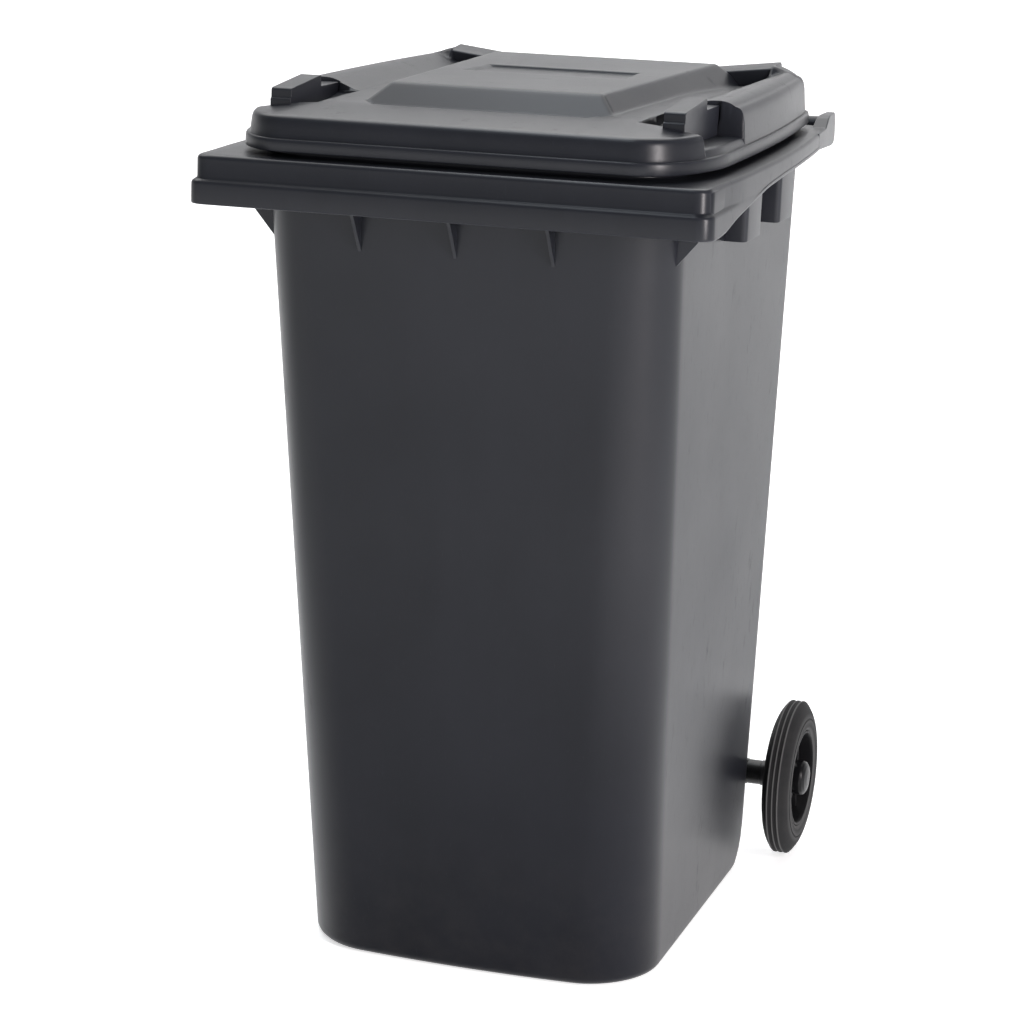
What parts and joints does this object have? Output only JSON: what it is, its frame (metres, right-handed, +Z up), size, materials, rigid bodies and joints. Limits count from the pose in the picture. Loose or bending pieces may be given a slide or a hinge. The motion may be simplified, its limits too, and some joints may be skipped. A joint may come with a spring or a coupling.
{
  "type": "wheelie bin",
  "caption": "Tall tapered refuse bin with a comb lifting rim, rear grips, a hinged lid with a raised centre, and rubber-tyred wheels on a steel axle.",
  "frame": {"origin": "on the ground, under the middle of the bin's overall box", "axes": "+Z up, +Y to the rear where the wheels, the hinge and the grips are, -Y to the front, +X to the right seen from the front"},
  "size_m": [0.608, 0.786, 1.055],
  "materials": {
    "shell": "satin moulded polyethylene",
    "steel": "drawn bar, zinc plated",
    "pin_plastic": "satin",
    "tyre": "moulded rubber",
    "hub_plastic": "satin",
    "nylon": "smooth",
    "sleeve_plastic": "satin",
    "washer_steel": "zinc plated",
    "spring_steel": "zinc plated",
    "cap_plastic": "satin gloss"
  },
  "bodies": {
    "bin": {"container": "shell", "axle": "steel", "hinge_pin_left": "pin_plastic", "axle_sleeve_left": "sleeve_plastic", "inner_washer_left": "washer_steel", "outer_washer_left": "washer_steel", "lock_cap_left": "spring_steel", "hinge_pin_right": "pin_plastic", "axle_sleeve_right": "sleeve_plastic", "inner_washer_right": "washer_steel", "outer_washer_right": "washer_steel", "lock_cap_right": "spring_steel"},
    "lid": {"lid": "shell"},
    "wheel_left": {"tyre_left": "tyre", "wheel_hub_left": "hub_plastic", "hub_bush_left": "nylon", "hub_cap_left": "cap_plastic"},
    "wheel_right": {"tyre_right": "tyre", "wheel_hub_right": "hub_plastic", "hub_bush_right": "nylon", "hub_cap_right": "cap_plastic"}
  },
  "joints": [
    {"name": "lid_hinge", "type": "hinge", "parent": "bin", "child": "lid", "pos_m": [0, 0.323, 1.004], "axis": [-1, 0, 0], "range_deg": [0, 270]},
    {"name": "wheel_left_spin", "type": "hinge", "parent": "bin", "child": "wheel_left", "pos_m": [-0.266, 0.291, 0.1055], "axis": [1, 0, 0], "continuous": true},
    {"name": "wheel_right_spin", "type": "hinge", "parent": "bin", "child": "wheel_right", "pos_m": [0.266, 0.291, 0.1055], "axis": [1, 0, 0], "continuous": true}
  ]
}
